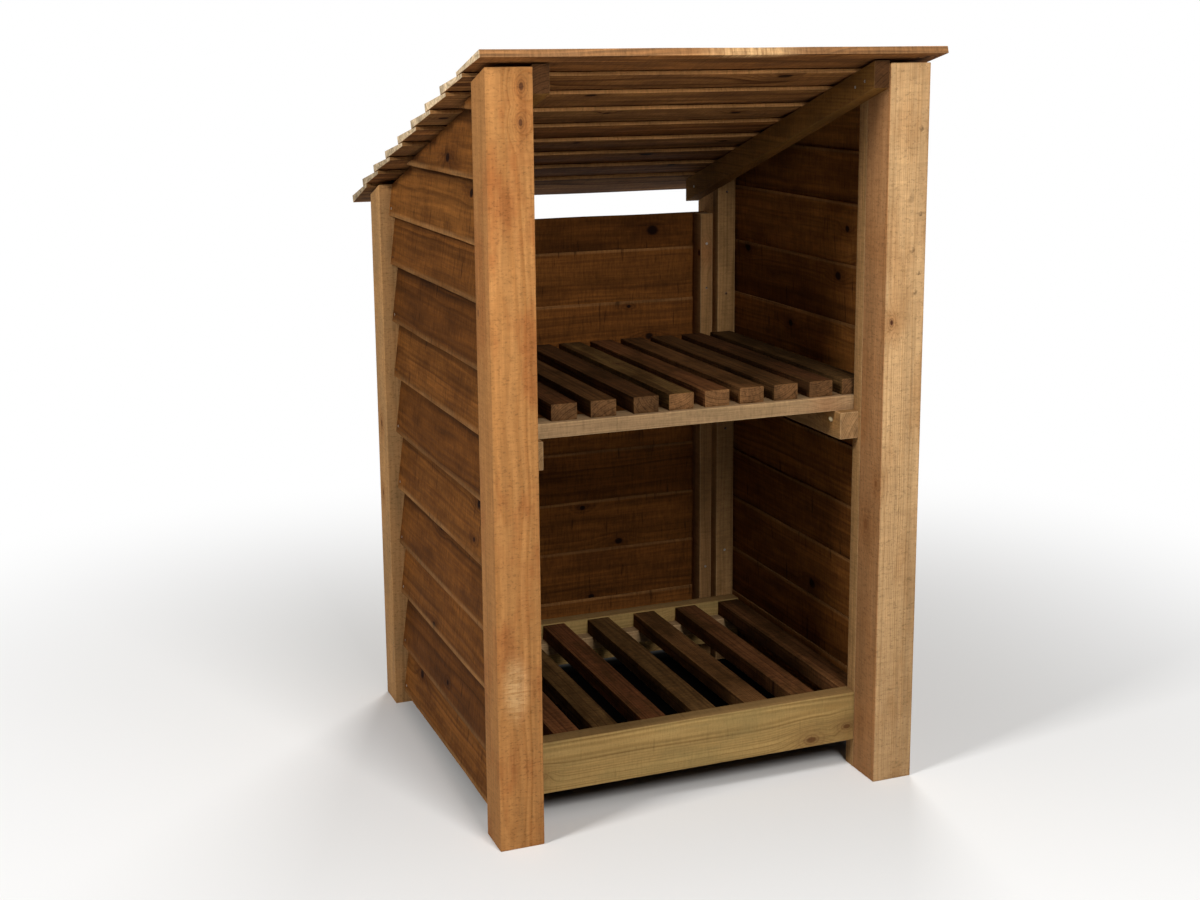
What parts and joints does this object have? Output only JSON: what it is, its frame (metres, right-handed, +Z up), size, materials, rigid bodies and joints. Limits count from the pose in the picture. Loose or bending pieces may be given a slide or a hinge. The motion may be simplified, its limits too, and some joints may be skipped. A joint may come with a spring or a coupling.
{
  "type": "log store",
  "caption": "Open-fronted timber log store with a slatted shelf, slatted floor, lapped board sides and back, and a lapped board roof that falls to the back.",
  "frame": {"origin": "on the ground under the middle of the roof's plan", "axes": "+X along the open front to its right as seen from the front, +Y from the open front to the back, +Z up"},
  "size_m": [0.79, 0.8544, 1.2655],
  "materials": {
    "post_timber": "sawn pressure-treated softwood",
    "batten_timber": "sawn pressure-treated softwood",
    "rafter_timber": "sawn pressure-treated softwood",
    "cladding_boards": "sawn pressure-treated softwood",
    "beam_timber": "sawn pressure-treated softwood",
    "bearer_timber": "sawn pressure-treated softwood",
    "cross_bearer_timber": "sawn pressure-treated softwood",
    "roof_boards": "sawn pressure-treated softwood",
    "slat_timber": "sawn pressure-treated softwood"
  },
  "bodies": {
    "root": {"front_left_post": "post_timber", "front_right_post": "post_timber", "rear_left_post": "post_timber", "rear_right_post": "post_timber", "left_battens": "batten_timber", "right_battens": "batten_timber", "rear_battens": "batten_timber", "left_rafter": "rafter_timber", "right_rafter": "rafter_timber", "left_cladding": "cladding_boards", "right_cladding": "cladding_boards", "rear_cladding": "cladding_boards", "front_floor_beam": "beam_timber", "rear_floor_beam": "beam_timber", "floor_ledgers": "bearer_timber", "shelf_side_bearers": "bearer_timber", "shelf_front_bearer": "cross_bearer_timber", "shelf_rear_bearer": "cross_bearer_timber", "roof_board_1": "roof_boards", "roof_board_2": "roof_boards", "roof_board_3": "roof_boards", "roof_board_4": "roof_boards", "roof_board_5": "roof_boards", "roof_board_6": "roof_boards", "roof_board_7": "roof_boards", "roof_board_8": "roof_boards", "roof_board_9": "roof_boards", "floor_slat_1": "slat_timber", "floor_slat_2": "slat_timber", "floor_slat_3": "slat_timber", "floor_slat_4": "slat_timber", "floor_slat_5": "slat_timber", "floor_slat_6": "slat_timber", "floor_slat_7": "slat_timber", "floor_slat_8": "slat_timber", "shelf_slat_1": "slat_timber", "shelf_slat_2": "slat_timber", "shelf_slat_3": "slat_timber", "shelf_slat_4": "slat_timber", "shelf_slat_5": "slat_timber", "shelf_slat_6": "slat_timber", "shelf_slat_7": "slat_timber", "shelf_slat_8": "slat_timber", "shelf_slat_9": "slat_timber", "shelf_slat_10": "slat_timber"}
  },
  "joints": []
}
